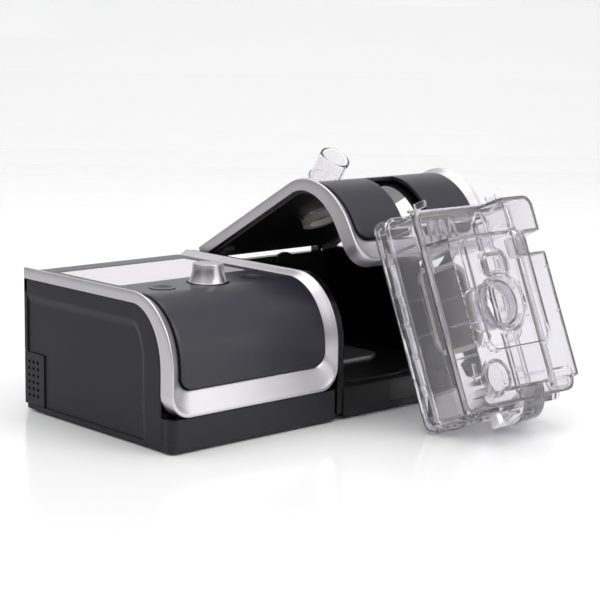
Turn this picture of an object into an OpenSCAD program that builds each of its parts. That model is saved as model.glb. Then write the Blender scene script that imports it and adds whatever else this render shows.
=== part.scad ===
// Bedside mechanical ventilator with a docked humidifier.
// The blower unit stands on the left and the humidifier on the right.
// The humidifier lid is held open and its clear water chamber leans in front.
// Millimetres, +Z up. Inside the modules X runs to the right from the left side
// face, Y runs back from the front face and Z runs up from the table.

/* [Overall] */
// Width of the blower unit
main_w = 140; // [125:1:160]
// Width of the humidifier
hum_w = 142; // [132:1:160]
// Depth from the front face to the rear face
unit_d = 158; // [150:1:180]
// Height from the table to the flat top
unit_h = 97; // [94:1:112]
// Horizontal run of the rounded front edge
curve_run = 40; // [34:1:44]
// Drop of the rounded front edge
curve_drop = 47; // [40:1:52]
// Height of the rubber feet below the bases
foot_h = 1.5; // [1:0.5:4]
// Wall of the plastic covers
wall = 3; // [2.5:0.1:3.6]

/* [Trim] */
// Depth of the silver band along the top, seen from the side
band_top = 7.5; // [6.5:0.5:9]
// Depth of the silver band along the front, seen from the side
band_front = 11.5; // [9:0.5:13]
// Width of the silver band, seen from the front
band_face = 9; // [7:0.5:11]
// Lower edge of the bar that closes the band at the front
bar_low = 21.6; // [20:0.2:24]
// Height of that bar
bar_h = 16.8; // [12:0.2:20]
// Thickness of that bar
bar_t = 5; // [4:0.5:6]
// Step from the band down to the dark panel
panel_drop = 3; // [2:0.5:4]
// Thickness of the dark panels
panel_t = 2.5; // [2:0.1:3]

/* [Controls] */
// Distance of the knob and buttons behind the front face
control_y = 51; // [49:1:56]
// Radius of the knob at its base
knob_r = 12.9; // [10:0.1:15]
// Height of the knob above the panel
knob_h = 12.5; // [9:0.5:16]
// Distance of each button from the middle
button_x = 37.5; // [32:0.5:42]
// Radius of the two buttons
button_r = 8.5; // [6:0.1:10]
// Travel of the knob and of the buttons
press_travel = 0.6; // [0.4:0.1:0.8]
// Gap around the knob
knob_gap = 1.3; // [0.6:0.1:1.6]
// Width of the display window
window_w = 108; // [90:1:112]
// Front edge of the display window
window_y = 74; // [70:1:80]
// Depth of the display window
window_d = 68; // [50:1:72]

/* [Blower] */
// Outer radius of the blower casing
volute_r = 36; // [32:1:38]
// Height of each half of the blower casing
volute_h = 18; // [16:1:19]
// Height of the blower outlet above the table
duct_z = 58; // [56:1:60]
// Outer radius of the air duct
duct_r = 10.5; // [9:0.5:11]
// Wall of the blower casing and air duct
duct_wall = 1.5; // [1.2:0.1:2]
// Radius of the impeller
impeller_r = 27; // [22:1:29]

/* [Humidifier] */
// Thickness of the wall beside the blower unit
part_wall = 5.2; // [4:0.2:7]
// Thickness of the outer wall
side_wall = 4.4; // [3.4:0.2:6]
// Height of the bay floor above the table
floor_z = 22.5; // [21.5:0.5:24]
// Width of the heater plate
heater_w = 52; // [40:1:60]
// Depth of the heater plate
heater_d = 64; // [50:1:72]
// Spring travel of the heater plate
heater_travel = 1.5; // [1:0.1:2]
// Width of the lid release button
release_w = 47; // [30:1:60]
// Travel of the lid release button
release_travel = 2; // [1:0.1:2.4]

/* [Lid] */
// Angle of the lid above its closed place
lid_open = 30; // [20:1:60]
// Width of the slot down the front of the lid
slot_w = 26.3; // [24:0.1:32]
// Height of the top end of that slot
slot_top = 88.5; // [80:0.5:89]
// Outer radius of the outlet tube
tube_r = 11; // [9:0.5:11]
// Wall of the outlet tube
tube_wall = 1.6; // [1.2:0.1:2]
// Lean of the outlet tube from the lid's normal
tube_lean = 64; // [55:1:66]
// Length of the leaning outlet tube
tube_len = 37.7; // [32:0.5:46]
// Length of its seat for the hose cuff, from the mouth to the shoulder
cuff_len = 20; // [16:1:24]
// Distance of the outlet behind the front face
outlet_y = 78; // [76:1:90]
// Distance of the outlet left of the lid's middle
outlet_off = 10.8; // [6:0.1:16]
// Radius of the hinge pins
pin_r = 1.5; // [1.2:0.1:2]

/* [Water chamber] */
// Width of the chamber's foot flange
tank_w = 98; // [90:1:104]
// Length of the chamber's foot flange
tank_l = 142; // [130:1:142]
// Height of the lower tank
tank_h = 34; // [30:1:38]
// Height of the chamber over its cover
chamber_h = 62; // [56:1:63]
// Inset of the tank walls from the flange
tank_inset = 4; // [3:0.5:6]
// Wall of the clear plastic
clear_wall = 2; // [1.6:0.1:2.4]
// Height of the slotted skirt
skirt_h = 13; // [10:1:16]
// Width of the metal plate in the chamber's floor
plate_w = 46; // [36:1:56]
// Depth of the metal plate
plate_d = 60; // [46:1:70]
// Radius of the chamber's outlet port
port_r = 15.5; // [12:0.5:17]
// Angle at which the chamber leans back from upright
lean = 22.5; // [18:0.5:24]
// Distance of the chamber's foot in front of the front face
foot_out = 62.5; // [62:0.5:80]
// Distance of the chamber's left edge from the left side face
chamber_x = 159; // [150:1:176]

/* [Hidden] */
$fn = 64;

// Shared clearances
gap = 0.3;         // between pieces that move past each other
running = 0.05;    // radial clearance of a shaft in its bore
seam = 0.4;        // seam between the two units
eps = 0.01;

// Places that follow from the driving sizes
bar_high = bar_low + bar_h;
mid_x = main_w / 2;
panel_z = unit_h - panel_drop;            // top face of the dark panels
under_z = panel_z - panel_t;              // their underside
base_t = 3;
base_z = foot_h + base_t;                 // upper face of the base plates
board_t = 1.6;
board_z = under_z - 11.5;
board_top = board_z + board_t;
board_y0 = 30;
board_y1 = unit_d - 22;
post_r = 3.5;
post_x = 16;
blower_x = 55;
blower_y = 92;
duct_y = blower_y - 22;                   // centre line of the air duct
volute_z = duct_z - volute_h;             // underside of the blower casing
shelf_z = volute_z - 14;
shelf_t = 3;
motor_r = 15;
shaft_r = 1.6;
hub_r = 6;
inlet_y = unit_d - 12;
inlet_x = 112;
inlet_z = 20;
filter_y = unit_d - 22;
filter_top = 40;
filter_t = 16;
flap_x = 22;
flap_w = 30;
flap_z = 70;
flap_h = 15;
flap_t = 2.2;
foot_r = 6;
foot_in = 14;
screw_r = 1.5;

hum_x = main_w + seam;                    // left face of the humidifier
hum_x1 = hum_x + hum_w;                   // right face of the humidifier
bay_x0 = hum_x + part_wall;
bay_x1 = hum_x1 - side_wall;
rear_wall = 6;
sill_t = 4;
sill_y = bar_t + gap;
sill_z = floor_z + 1.1;
lid_x = bay_x0 + seam;
lid_w = hum_x1 - 0.8 - lid_x;
lid_mid = lid_x + lid_w / 2;
lid_back = unit_d - 9;
liner_t = 2;
pivot_y = unit_d - 4.2;
pivot_z = unit_h - 6.5;
knuckle_r = 4;
arm_w = 8;
ear_w = 3.4;
arm_in = 7.2;                             // lid edge to the hinge arm
outlet_x = lid_mid - outlet_off;
riser_r = tube_r + 1.4;
cuff_step = 0.8;                          // height of the shoulder that stops the cuff
heater_y = 57;
heater_x = lid_mid - heater_w / 2;
heater_lift = heater_travel - gap;
catch_w = 16;
catch_t = 3;
liner_z = unit_h - band_top - liner_t;    // underside of the lid's liner
seal_h = 4;
seal_z = liner_z - gap - 2 - seal_h;      // lower end of the outlet's seal

cover_x0 = tank_inset;                    // outer walls of the chamber cover
cover_w = tank_w - 2 * tank_inset;
cover_y0 = 6;
cover_l = tank_l - cover_y0 - 4;
gasket_t = 1.6;
cover_z = tank_h + gasket_t;
roof_z = chamber_h - 4;
plate_x = (tank_w - plate_w) / 2;
plate_y = 48;
nose_w = slot_w - 5;
nose_x = (tank_w - nose_w) / 2;
nose_out = 7;

// Docked place of the chamber: its outlet port lies under the lid's outlet
dock_y = bar_t + catch_t + 0.4;
dock_z = floor_z + heater_lift;
port_x = outlet_x - lid_mid + tank_w / 2;
port_y = outlet_y - dock_y;
baffle_top = seal_z - dock_z - gap;
deck_y = 116;
deck_w = tank_w - 32;
deck_z = roof_z - 14;
pad_x = 13;                               // raised platform on the cover
pad_y = 38;
pad_w = 61;
pad_l = 76;
lug_w = 8;
chamber_pin_r = 1;
clip_x = 12;
clip_w = 16;
clip_t = 3;
clip_z = tank_h - 10;                     // axis of the clip, on the tank's wall

// The origin is the middle of the footprint of the whole object.
front_most = -foot_out - roof_z * cos(lean) - (nose_out - cover_y0) * sin(lean);
rear_most = unit_d + gap + flap_t;
origin_x = hum_x1 / 2;
origin_y = (front_most + rear_most) / 2;

// Rounded front edge: quarter of an ellipse from the flat top to the front face
function edge_arc(dy, dz, n = 18) = [for (i = [0:n]) let (a = 90 * i / n)
    [curve_run - (curve_run - dy) * sin(a), unit_h - curve_drop + (curve_drop - dz) * cos(a)]];

// Side view of a unit, drawn in by dy at the front and dz at the top
module side_outline(dy, dz, back, low)
    polygon(concat([[back, low], [back, unit_h - dz]], edge_arc(dy, dz), [[dy, low]]));

// Extrudes a side view from x0 to x1
module slab(x0, x1)
    translate([x0, 0, 0]) rotate([90, 0, 90]) linear_extrude(x1 - x0) children();

// Extrudes a front view from y0 to y1
module plank(y0, y1)
    translate([0, y1, 0]) rotate([90, 0, 0]) linear_extrude(y1 - y0) children();

// Box between two corners
module block(a, b) translate(a) cube(b - a);

// Rectangle with round corners, drawn with its corner at the origin
module round_rect(w, l, r) {
    translate([r, 0]) square([w - 2 * r, l]);
    translate([0, r]) square([w, l - 2 * r]);
    for (x = [r, w - r], y = [r, l - r]) translate([x, y]) circle(r);
}

module slab_plate(w, l, r, z0, z1) translate([0, 0, z0]) linear_extrude(z1 - z0) round_rect(w, l, r);

module tube(r, inner, z0, z1) difference() {
    translate([0, 0, z0]) cylinder(h = z1 - z0, r = r);
    translate([0, 0, z0 - 1]) cylinder(h = z1 - z0 + 2, r = inner);
}

module at_base() translate([-origin_x, -origin_y, 0]) children();

module on_lid() at_base() translate([0, pivot_y, pivot_z]) rotate([-lid_open, 0, 0])
    translate([0, -pivot_y, -pivot_z]) children();

module on_chamber() at_base() translate([chamber_x, -foot_out, 0]) rotate([90 - lean, 0, 0]) children();

// ---- blower unit: casing ----

module base_tray() color("#323236") at_base() {
    difference() {
        translate([gap, gap, 0]) slab_plate(main_w - 2 * gap, unit_d - 2 * gap, 3, foot_h, base_z);
        foot_pockets(0, main_w);
        for (p = post_places()) translate([p[0], p[1], foot_h - 1]) cylinder(h = 2, r = 2 * screw_r);
        for (p = post_places()) translate([p[0], p[1], 0]) cylinder(h = base_z + 1, r = screw_r);
    }
    for (p = post_places()) translate([p[0], p[1], 0]) difference() {
        translate([0, 0, base_z - eps]) cylinder(h = board_z - base_z + eps, r = post_r);
        cylinder(h = base_z + 9, r = screw_r);
    }
}

function post_places() = [for (x = [post_x, main_w - post_x], y = [board_y0 + 5, board_y1 - 5]) [x, y]];

function foot_places(x0, w) = [for (x = [x0 + foot_in, x0 + w - foot_in], y = [foot_in + 6, unit_d - foot_in]) [x, y]];

module foot_pockets(x0, w)
    for (p = foot_places(x0, w)) translate([p[0], p[1], foot_h - 1]) cylinder(h = 2.2, r = foot_r);

module rubber_feet() color("#1b1b1d") at_base()
    for (p = concat(foot_places(0, main_w), foot_places(hum_x, hum_w)))
        translate([p[0], p[1], 0]) cylinder(h = foot_h + 1.2, r = foot_r);

module case_screws() color("#9a9ca0") at_base()
    for (p = post_places()) translate([p[0], p[1], 0]) {
        translate([0, 0, foot_h + 0.2]) cylinder(h = 0.8, r = 2 * screw_r);
        translate([0, 0, foot_h + 0.9]) cylinder(h = base_z + 5, r = screw_r);
    }

// Side view shared by the two side walls of the blower unit
module wall_view() {
    side_outline(band_front, band_top, unit_d - wall, base_z);
    translate([9.3, base_z]) square([band_front - 9.3 + eps, bar_low - base_z]);
}

module left_side_cover() color("#343438") at_base() difference() {
    slab(0, wall) wall_view();
    // sunk field behind the step line
    slab(-1, 0.9) difference() {
        side_outline(31, 23.5, unit_d + 1, base_z + 2);
        translate([filter_y - 4, 0]) square([60, filter_top + 4]);
    }
    block([-1, filter_y - gap, 0], [wall + 1, unit_d + 1, filter_top + gap]);
}

module right_side_wall() color("#343438") at_base() difference() {
    slab(main_w - wall, main_w) wall_view();
    translate([main_w - wall - 1, duct_y, duct_z]) rotate([0, 90, 0]) cylinder(h = wall + 2, r = duct_r);
}

module rear_panel() color("#2e2e32") at_base() difference() {
    block([0, unit_d - wall, base_z], [main_w, unit_d, unit_h - band_top]);
    block([-1, unit_d - wall - 1, 0], [14 + gap, unit_d + 1, filter_top + gap]);
    block([inlet_x - 7, unit_d - wall - 1, inlet_z - 6], [inlet_x + 7, unit_d + 1, inlet_z + 6]);
    block([flap_x + 3, unit_d - wall - 1, flap_z + 3], [flap_x + flap_w - 3, unit_d + 1, flap_z + flap_h - 3]);
    for (i = [0:9]) block([70 + 5 * i, unit_d - wall - 1, 50], [72 + 5 * i, unit_d + 1, 72]);
}

module front_panel() color("#323236") at_base() {
    difference() {
        translate([0, 0, foot_h]) linear_extrude(bar_low - foot_h) round_rect(main_w, 20, 5);
        translate([wall, wall, 0]) cube([main_w - 2 * wall, 30, bar_low + 1]);
        block([-1, 9, 0], [main_w + 1, 30, bar_low + 1]);
        translate([gap, gap, 0]) cube([main_w - 2 * gap, 30, base_z]);
    }
    // tongue that backs the silver bar
    block([band_face, bar_t, bar_low - 6], [main_w - band_face, bar_t + 2, bar_high - 0.5]);
    block([band_face, wall - eps, bar_low - 6], [main_w - band_face, bar_t + eps, bar_low - 3]);
}

// U-shaped front view of a silver band, open at the top
module band_view(w) difference() {
    union() {
        translate([0, bar_low + 15]) square([w, unit_h]);
        translate([15, bar_low]) square([w - 30, 16]);
        for (x = [15, w - 15]) translate([x, bar_low + 15]) circle(15);
    }
    translate([band_face, bar_high + 9]) square([w - 2 * band_face, unit_h]);
    translate([band_face + 9, bar_high]) square([w - 2 * band_face - 18, 10]);
    for (x = [band_face + 9, w - band_face - 9]) translate([x, bar_high + 9]) circle(9);
}

module band(x0, w, back) difference() {
    intersection() {
        slab(x0, x0 + w) difference() {
            side_outline(0, 0, back, bar_low - 1);
            side_outline(band_front, band_top, back + 1, 0);
        }
        plank(-1, unit_d + 1) translate([x0, 0]) band_view(w);
    }
    block([x0 + band_face, bar_t, 0], [x0 + w - band_face, unit_d, bar_high + 9]);
}

module panel(x0, w, back) intersection() {
    slab(x0 + band_face, x0 + w - band_face) difference() {
        side_outline(panel_drop, panel_drop, back, bar_high);
        side_outline(panel_drop + panel_t, panel_drop + panel_t, back + 1, 0);
    }
    plank(-1, unit_d + 1) translate([x0 + band_face, bar_high])
        round_rect(w - 2 * band_face, 2 * unit_h, 9);
}

module trim_band() color("#cfcdd2") at_base() band(0, main_w, unit_d);

module top_panel() color("#3d3c46") at_base() difference() {
    panel(0, main_w, unit_d);
    translate([mid_x, control_y, under_z - 1]) cylinder(h = 9, r = knob_r + knob_gap);
    for (s = [-1, 1]) translate([mid_x + s * button_x, control_y, under_z - 1])
        cylinder(h = 9, r = button_r + gap);
    block([mid_x - window_w / 2, window_y, under_z - 1], [mid_x + window_w / 2, window_y + window_d, unit_h]);
}

module display_window() color("#e2dce2") at_base()
    block([mid_x - window_w / 2, window_y, under_z], [mid_x + window_w / 2, window_y + window_d, panel_z - 0.3]);

module display_module() color("#8d9298") at_base()
    block([mid_x - window_w / 2 + 4, window_y + 3, board_top], [mid_x + window_w / 2 - 4, window_y + window_d - 3, under_z]);

module control_board() color("#2f6b46") at_base() difference() {
    block([12, board_y0, board_z], [main_w - 12, board_y1, board_top]);
    for (p = post_places()) translate([p[0], p[1], board_z - 1]) cylinder(h = 4, r = 1.6);
}

// ---- controls ----

module encoder_body() color("#4a4a4e") at_base() translate([mid_x, control_y, board_top]) difference() {
    union() {
        translate([-6.5, -6.5, 0]) cube([13, 13, 5]);
        cylinder(h = 8.5, r = 4.5);
    }
    translate([0, 0, 2]) cylinder(h = 9, r = 3 + running);
}

module encoder_plunger() color("#b9bbbf") at_base()
    translate([mid_x, control_y, board_top + 2 + press_travel + gap]) cylinder(h = 15, r = 3);

module knob() color("#c9c7cc") at_base() translate([mid_x, control_y, 0]) difference() {
    translate([0, 0, panel_z]) rotate_extrude() polygon([
        [0, -2.2], [knob_r, -2.2], [knob_r, 1.2], [knob_r - 0.9, 2.6], [knob_r - 2.2, 5],
        [knob_r - 2.9, 8], [knob_r - 2.8, knob_h - 1], [knob_r - 3.3, knob_h], [0, knob_h - 0.8]]);
    translate([0, 0, panel_z - 4]) cylinder(h = board_top + 17 + press_travel + gap - panel_z + 4 + gap, r = 3 + running);
}

module push_button(x) at_base() translate([x, control_y, 0]) difference() {
    union() {
        translate([0, 0, under_z - gap - 1]) cylinder(h = 1, r = button_r + 1.4);
        translate([0, 0, under_z - gap - eps]) cylinder(h = panel_t + gap + 0.4, r = button_r);
        translate([0, 0, board_top + 4.6 + press_travel + gap]) cylinder(h = 5.5 - press_travel - gap, r = 2);
    }
    // shallow finger dish
    translate([0, 0, panel_z + 0.4 + 26.6]) sphere(r = 27.6, $fn = 96);
}

module left_button() color("#45444d") push_button(mid_x - button_x);

module right_button() color("#45444d") push_button(mid_x + button_x);

module button_switches() color("#202022") at_base()
    for (s = [-1, 1]) translate([mid_x + s * button_x - 3, control_y - 3, board_top]) cube([6, 6, 4.6]);

// ---- blower ----

module blower_shelf() color("#56565b") at_base() {
    block([blower_x - 34, blower_y - 34, shelf_z], [blower_x + 34, blower_y + 34, shelf_z + shelf_t]);
    for (x = [-30, 30], y = [-30, 30]) translate([blower_x + x, blower_y + y, base_z])
        cylinder(h = shelf_z - base_z + eps, r = 3);
}

module muffler_foam() color("#7d7a72") at_base() difference() {
    block([blower_x - 34, blower_y - 34, base_z], [blower_x + 34, blower_y + 34, shelf_z]);
    for (x = [-30, 30], y = [-30, 30]) translate([blower_x + x, blower_y + y, base_z - 1])
        cylinder(h = shelf_z, r = 3.4);
}

module blower_mounts() color("#26262a") at_base()
    for (a = [90, 210, 330]) translate([blower_x + 27 * cos(a), blower_y + 27 * sin(a), shelf_z + shelf_t])
        cylinder(h = volute_z - shelf_z - shelf_t, r = 4.5);

module blower_motor() color("#8e9196") at_base() translate([blower_x, blower_y, 0]) difference() {
    translate([0, 0, shelf_z + shelf_t]) cylinder(h = volute_z - shelf_z - shelf_t, r = motor_r);
    translate([0, 0, volute_z - 6]) cylinder(h = 8, r = shaft_r + running);
}

module casing_body(r, d) {
    translate([blower_x, blower_y, volute_z + (r < volute_r ? duct_wall : 0)])
        cylinder(h = 2 * volute_h - (r < volute_r ? 2 * duct_wall : 0), r = r);
    translate([blower_x, duct_y, duct_z]) rotate([0, 90, 0]) cylinder(h = volute_r + 6 + (r < volute_r ? 1 : 0), r = d);
}

module casing() difference() {
    casing_body(volute_r, duct_r + duct_wall + 0.6);
    casing_body(volute_r - duct_wall - 1, duct_r + 0.05);
    translate([blower_x, blower_y, volute_z - 1]) cylinder(h = 4, r = hub_r);
    translate([blower_x, blower_y, volute_z + 2 * volute_h - 4]) cylinder(h = 6, r = 15);
}

module volute_lower() color("#5c6068") at_base() difference() {
    casing();
    block([0, 0, duct_z], [main_w, unit_d, unit_h]);
}

module volute_upper() color("#666a72") at_base() intersection() {
    casing();
    block([0, 0, duct_z], [main_w, unit_d, unit_h]);
}

module impeller() color("#d8d8d4") at_base() translate([blower_x, blower_y, 0]) {
    translate([0, 0, volute_z - 5]) cylinder(h = 18, r = shaft_r);
    translate([0, 0, volute_z + 4]) cylinder(h = 2, r = impeller_r);
    translate([0, 0, volute_z + 4]) cylinder(h = 14, r = hub_r - 1);
    for (i = [0:8]) rotate([0, 0, 40 * i]) translate([hub_r - 2, -0.6, volute_z + 5])
        cube([impeller_r - hub_r, 1.2, 13]);
}

module air_duct() color("#50535a") at_base() translate([blower_x + volute_r + 3, duct_y, duct_z])
    rotate([0, 90, 0]) tube(duct_r, duct_r - duct_wall, 0, bay_x0 - blower_x - volute_r - 3);

module power_board() color("#2b5f7a") at_base() difference() {
    union() {
        block([main_w - 44, 44, base_z + 6], [main_w - 8, 118, base_z + 6 + board_t]);
        for (x = [main_w - 40, main_w - 12], y = [48, 112]) translate([x, y, base_z]) cylinder(h = 6.1, r = 2.5);
        block([main_w - 38, 60, base_z + 7], [main_w - 22, 90, base_z + 24]);
        translate([main_w - 16, 76, base_z + 7]) cylinder(h = 20, r = 5);
    }
    translate([main_w - 30, 52, 0]) cylinder(h = 20, r = 1.6);
}

module power_inlet() color("#18181a") at_base() difference() {
    block([inlet_x - 7, inlet_y, inlet_z - 6], [inlet_x + 7, unit_d, inlet_z + 6]);
    translate([inlet_x, unit_d - 9, inlet_z]) rotate([-90, 0, 0]) difference() {
        cylinder(h = 10, r = 3.2);
        cylinder(h = 8, r = 1);
    }
}

module air_filter() color("#e6e6e2") at_base()
    block([wall + 0.6, filter_y + 2, base_z], [filter_t, unit_d - wall - 0.6, filter_top - 3]);

module filter_cover() color("#303034") at_base() difference() {
    union() {
        block([0, filter_y, base_z + gap], [wall, unit_d, filter_top]);
        block([0, unit_d - wall, base_z + gap], [14, unit_d, filter_top]);
    }
    for (row = [0:5], col = [0:2]) translate([-1, filter_y + 7 + 5 * col, 11 + 4.6 * row])
        rotate([0, 90, 0]) cylinder(h = wall + 2, r = 1.2, $fn = 24);
}

module rear_port_flap() color("#222225") at_base() {
    block([flap_x, unit_d + gap, flap_z], [flap_x + flap_w, unit_d + gap + flap_t, flap_z + flap_h]);
    // rounded lower edge, which it turns about
    translate([flap_x, unit_d + gap + flap_t / 2, flap_z]) rotate([0, 90, 0]) cylinder(h = flap_w, r = flap_t / 2);
}

// ---- humidifier ----

module humidifier_housing() color("#17171a") at_base() difference() {
    union() {
        // wall beside the blower unit, as tall as that unit
        slab(hum_x, bay_x0) side_outline(1, 1, unit_d, base_z);
        // outer wall, under the lid's band
        slab(bay_x1, hum_x1) side_outline(band_front + gap, band_top + gap + 0.3, unit_d, base_z);
        // rear wall
        block([bay_x0 - eps, unit_d - rear_wall, base_z], [bay_x1 + eps, unit_d, pivot_z - knuckle_r - 1]);
        // bay floor, front lip and sill
        block([bay_x0 - eps, sill_y, floor_z - 2.5], [bay_x1 + eps, unit_d - 1, floor_z]);
        block([bay_x0 - eps, 0, foot_h + 0.5], [hum_x1, sill_t, bar_low - gap]);
        block([bay_x0 - eps, sill_t - eps, bar_low - 4], [bay_x1 + eps, sill_y + sill_t, bar_low - gap]);
        block([lid_x + band_face + gap, sill_y, floor_z - 2.5], [lid_x + lid_w - band_face - gap, sill_y + sill_t, sill_z]);
        block([hum_x1 - side_wall, 0, foot_h + 0.5], [hum_x1, band_front + 2, bar_low - gap]);
        // round stop pad on the rear wall
        translate([lid_mid + 15, unit_d - rear_wall - 1.5, 76]) rotate([-90, 0, 0]) cylinder(h = 2, r = 12);
        hinge_ears();
        chamber_guides();
    }
    translate([main_w - 5, duct_y, duct_z]) rotate([0, 90, 0]) cylinder(h = 20, r = duct_r);
    // heater opening
    translate([heater_x - gap, heater_y - gap, 0])
        slab_plate(heater_w + 2 * gap, heater_d + 2 * gap, 12, floor_z - 5, floor_z + 1);
    // release button and catch openings
    block([lid_mid - release_w / 2 - gap, -1, 6], [lid_mid + release_w / 2 + gap, sill_t + release_travel + 1.8, bar_low - 2.4]);
    block([lid_mid - catch_w / 2 - 1, sill_t + 0.2, bar_low - 1.6],
          [lid_mid + catch_w / 2 + 1, sill_y + sill_t - 0.4, sill_z + 1]);
    for (x = arm_places()) translate([x - ear_w - 1, pivot_y, pivot_z]) rotate([0, 90, 0])
        cylinder(h = arm_w + 2 * ear_w + 2, r = pin_r);
}

function arm_places() = [lid_x + arm_in, lid_x + lid_w - arm_in - arm_w];

module hinge_ears()
    for (x = arm_places(), s = [x - ear_w - gap, x + arm_w + gap]) slab(s, s + ear_w) {
        translate([pivot_y, pivot_z]) circle(knuckle_r);
        translate([pivot_y - knuckle_r, pivot_z - knuckle_r - 4]) square([2 * knuckle_r, knuckle_r + 4]);
    }

// Rails on the bay floor that guide the chamber's foot flange
module chamber_guides()
    for (s = [-1, 1]) translate([lid_mid + s * (tank_w / 2 + 3) - 1.5, 22, floor_z - eps]) cube([3, 110, 5]);

module humidifier_base() color("#2a2a2d") at_base() difference() {
    translate([hum_x + gap, sill_t + gap, 0]) slab_plate(hum_w - 2 * gap - side_wall, unit_d - sill_t - 2 * gap, 3, foot_h, base_z);
    foot_pockets(hum_x, hum_w);
    for (i = [0:7]) block([lid_mid - 32 + 9 * i, 70, 0], [lid_mid - 29 + 9 * i, 110, base_z + 1]);
}

module port_seal() color("#6a6a70") at_base() translate([bay_x0, duct_y, duct_z]) rotate([0, 90, 0])
    tube(duct_r + 3, duct_r - duct_wall, 0, 3.2);

module heater_plate() color("#9c9ea2") at_base() translate([heater_x, heater_y, 0])
    slab_plate(heater_w, heater_d, 11.6, floor_z - 1.5, floor_z + heater_lift);

module heater_element() color("#b3692f") at_base() translate([lid_mid, heater_y + heater_d / 2, 0])
    tube(21, 15, floor_z - 3.1, floor_z - 1.5);

module heater_springs() color("#b9bbbf") at_base()
    for (x = [-1, 1], y = [-1, 1])
        translate([lid_mid + x * (heater_w / 2 - 5), heater_y + heater_d / 2 + y * (heater_d / 2 - 5), 0])
            tube(2.6, 1.6, base_z, floor_z - 1.5);

module release_button() color("#2a2a2e") at_base() {
    plank(0.2, sill_t + 0.6) translate([lid_mid - release_w / 2, 6 + gap])
        round_rect(release_w, bar_low - 2.4 - 6 - 2 * gap, 2.5);
    block([lid_mid - release_w / 2 - 3, sill_t + gap, 6 + gap], [lid_mid + release_w / 2 + 3, sill_t + gap + 1.4, 15]);
}

module hinge_pins() color("#b9bbbf") at_base()
    for (x = arm_places()) translate([x - ear_w - gap, pivot_y, pivot_z]) rotate([0, 90, 0])
        cylinder(h = arm_w + 2 * ear_w + 2 * gap, r = pin_r);

// ---- lid, drawn closed and turned open by on_lid() ----

module lid_frame() color("#cfcdd2") on_lid() band(lid_x, lid_w, lid_back);

module lid_slot(low) plank(-1, curve_run) translate([lid_mid - slot_w / 2, low])
    square([slot_w, slot_top - low]);

module lid_panel() color("#3d3c46") on_lid() difference() {
    panel(lid_x, lid_w, lid_back);
    lid_slot(bar_high);
    translate([outlet_x, outlet_y, under_z - 1]) cylinder(h = 9, r = riser_r + running);
}

module lid_liner() color("#111113") on_lid() difference() {
    slab(lid_x + 3.4, bay_x1 - 1) difference() {
        side_outline(band_front, band_top, lid_back - 1, bar_high + 2);
        side_outline(band_front + liner_t, band_top + liner_t, lid_back, 0);
    }
    lid_slot(bar_high);
    translate([outlet_x, outlet_y, 60]) cylinder(h = 40, r = riser_r + running);
}

module lid_hinge_arms() color("#3c3c40") on_lid()
    for (x = arm_places()) difference() {
        slab(x, x + arm_w) {
            translate([pivot_y, pivot_z]) circle(knuckle_r);
            polygon([[pivot_y - 24, pivot_z - 5], [pivot_y - 24, liner_z],
                [pivot_y - 6, liner_z], [pivot_y, pivot_z + 2], [pivot_y, pivot_z - knuckle_r + 0.2],
                [pivot_y - 8, pivot_z - 7]]);
        }
        translate([x - 1, pivot_y, pivot_z]) rotate([0, 90, 0]) cylinder(h = arm_w + 2, r = pin_r + running);
    }

module lid_catch() color("#3c3c40") on_lid() {
    block([lid_mid - catch_w / 2, bar_t, sill_z + gap], [lid_mid + catch_w / 2, bar_t + catch_t, sill_z + 7]);
    block([lid_mid - catch_w / 2, bar_t + 1.4, bar_low - 0.6], [lid_mid + catch_w / 2, bar_t + catch_t, sill_z + gap + eps]);
}

module lean_tube(r, len) translate([0, 0, unit_h + 2.1]) rotate([tube_lean, 0, 0]) cylinder(h = len, r = r);

module outlet_tube() color("#dfe3e6") on_lid() translate([outlet_x, outlet_y, 0]) difference() {
    union() {
        translate([0, 0, liner_z - gap - 2]) cylinder(h = 2, r = riser_r + 2);
        translate([0, 0, liner_z - gap - eps]) cylinder(h = unit_h - liner_z + gap + 6, r = riser_r);
        intersection() {
            union() {
                lean_tube(tube_r, tube_len);
                lean_tube(tube_r + cuff_step, tube_len - cuff_len);
            }
            translate([-60, -80, panel_z + 0.8]) cube([120, 160, 60]);
        }
    }
    translate([0, 0, unit_h - 20]) cylinder(h = 21, r = tube_r - tube_wall);
    lean_tube(tube_r - tube_wall, tube_len + 1);
}

module outlet_seal() color("#55555b") on_lid() translate([outlet_x, outlet_y, 0])
    tube(riser_r + 2, tube_r - tube_wall, seal_z, seal_z + seal_h);

// ---- water chamber, drawn flat and stood up by on_chamber() ----

module chamber_tank() color("#d9dadd") on_chamber() difference() {
    union() {
        slab_plate(tank_w, tank_l, 8, 0, 3);
        difference() {
            slab_plate(tank_w, tank_l, 8, 3 - eps, skirt_h);
            translate([1.8, 1.8, 0]) slab_plate(tank_w - 3.6, tank_l - 3.6, 6.4, 0, skirt_h + 1);
            for (i = [0:4]) block([-1, 10 + 26 * i, 5], [tank_w + 1, 30 + 26 * i, skirt_h - 2.5]);
            for (i = [0:4]) block([11 + 15 * i, tank_l - 3, 5], [21 + 15 * i, tank_l + 1, skirt_h - 2.5]);
        }
        translate([cover_x0, cover_y0, 0]) slab_plate(cover_w, cover_l, 8, 1, tank_h);
        for (s = [0, cover_w - lug_w]) translate([cover_x0 + s, cover_y0 + cover_l - 1, hinge_z() - 3])
            cube([lug_w, 6, 6]);
    }
    translate([cover_x0 + clear_wall, cover_y0 + clear_wall, 0])
        slab_plate(cover_w - 2 * clear_wall, cover_l - 2 * clear_wall, 6, 4.6, tank_h + 1);
    translate([plate_x, plate_y, 0]) slab_plate(plate_w, plate_d, 11, -1, 6);
    translate([-1, hinge_y(), hinge_z()]) rotate([0, 90, 0]) cylinder(h = tank_w + 2, r = chamber_pin_r);
}

function hinge_y() = cover_y0 + cover_l + 2.6;
function hinge_z() = tank_h - 3;

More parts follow.
